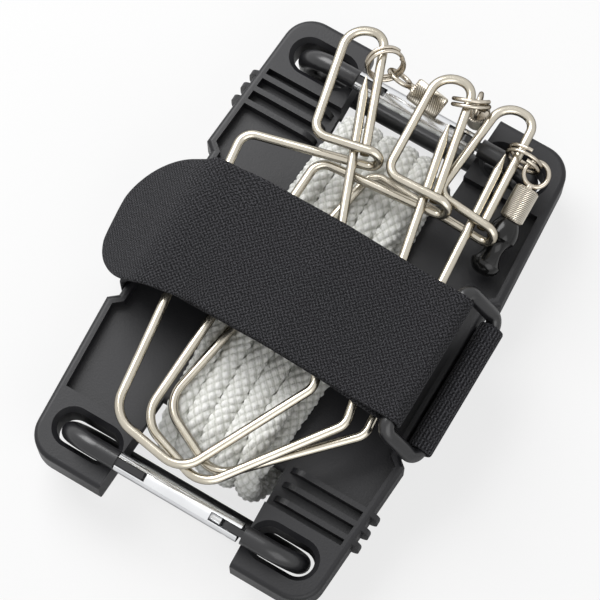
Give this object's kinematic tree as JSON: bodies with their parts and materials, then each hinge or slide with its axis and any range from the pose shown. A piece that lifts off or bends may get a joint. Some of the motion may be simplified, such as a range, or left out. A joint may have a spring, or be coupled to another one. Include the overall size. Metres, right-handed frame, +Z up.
{
  "type": "fish stringer",
  "caption": "Fish stringer: a notched winder plate with wound rope, wire fish clips on split rings and swivels, sprung-gate carabiners through the plate's corners, and a cinch strap.",
  "frame": {"origin": "on the strap's underside, below the winder plate's centre, where the packed stringer rests", "axes": "+Z up through the stack, +Y along the winder plate towards the heads of the fish clips, +X across the plate towards the strap ring"},
  "size_m": [0.1268, 0.1712, 0.0533],
  "materials": {
    "plate_plastic": "fine moulded grain",
    "rope": "braided, off-white",
    "clip_wire": "nickel plated, satin",
    "ring_wire": "nickel plated, bright",
    "barrel_metal": "nickel plated, diagonal knurl",
    "stopper_rubber": "glossy black",
    "carabiner_coat": "satin black coat",
    "gate_metal": "bright rolled tube",
    "spring_steel": "plain",
    "strap_web": "black woven hook-and-loop tape",
    "hook_web": "black hook tape",
    "ring_coat": "satin black coat"
  },
  "bodies": {
    "packed_frame": {"winder_plate": "plate_plastic", "rope_winding": "rope", "fish_clip_left": "clip_wire", "fish_clip_middle": "clip_wire", "fish_clip_right": "clip_wire", "split_ring_left": "ring_wire", "split_ring_middle": "ring_wire", "split_ring_right": "ring_wire", "swivel_eye_left": "ring_wire", "swivel_eye_middle": "ring_wire", "swivel_eye_right": "ring_wire", "strap_band": "strap_web", "strap_fold": "strap_web", "strap_ring": "ring_coat"},
    "lower_carabiner": {"carabiner_lower": "carabiner_coat"},
    "lower_gate": {"gate_lower": "gate_metal", "gate_pin_lower": "spring_steel", "gate_plunger_lower": "spring_steel", "gate_spring_lower": "spring_steel"},
    "upper_carabiner": {"carabiner_upper": "carabiner_coat"},
    "upper_gate": {"gate_upper": "gate_metal", "gate_pin_upper": "spring_steel", "gate_plunger_upper": "spring_steel", "gate_spring_upper": "spring_steel"},
    "left_swivel": {"swivel_barrel_left": "barrel_metal"},
    "middle_swivel": {"swivel_barrel_middle": "barrel_metal"},
    "right_swivel": {"swivel_barrel_right": "barrel_metal", "rubber_stopper": "stopper_rubber"},
    "strap_end": {"strap_tab": "strap_web", "hook_patch": "hook_web"}
  },
  "joints": [
    {"name": "lower_carabiner_rock", "type": "hinge", "parent": "packed_frame", "child": "lower_carabiner", "pos_m": [0, -0.0723, 0.01695], "axis": [1, 0, 0], "range_deg": [-30, 2]},
    {"name": "upper_carabiner_rock", "type": "hinge", "parent": "packed_frame", "child": "upper_carabiner", "pos_m": [0, 0.0723, 0.01695], "axis": [1, 0, 0], "range_deg": [-6, 10]},
    {"name": "lower_gate_hinge", "type": "hinge", "parent": "lower_carabiner", "child": "lower_gate", "pos_m": [0.0178, -0.07523, 0.02869], "axis": [0, -0.9703, -0.2419], "range_deg": [0, 24], "stiffness_Nm_per_rad": 0.2, "springref_deg": -17.19},
    {"name": "upper_gate_hinge", "type": "hinge", "parent": "upper_carabiner", "child": "upper_gate", "pos_m": [0.0178, 0.07104, 0.02898], "axis": [0, -0.9945, -0.1045], "range_deg": [0, 24], "stiffness_Nm_per_rad": 0.2, "springref_deg": -17.19},
    {"name": "left_swivel_spin", "type": "hinge", "parent": "packed_frame", "child": "left_swivel", "pos_m": [-0.00848, 0.07383, 0.04248], "axis": [0.9803, -0.1, -0.1701], "continuous": true},
    {"name": "middle_swivel_spin", "type": "hinge", "parent": "packed_frame", "child": "middle_swivel", "pos_m": [0.01665, 0.08018, 0.03711], "axis": [0, 0.1203, -0.9927], "continuous": true},
    {"name": "right_swivel_spin", "type": "hinge", "parent": "packed_frame", "child": "right_swivel", "pos_m": [0.04371, 0.07008, 0.03556], "axis": [0, -0.9651, -0.262], "continuous": true},
    {"name": "strap_end_peel", "type": "hinge", "parent": "packed_frame", "child": "strap_end", "pos_m": [-0.024, -0.002, 0.04986], "axis": [0, 1, 0], "range_deg": [0, 75]}
  ]
}
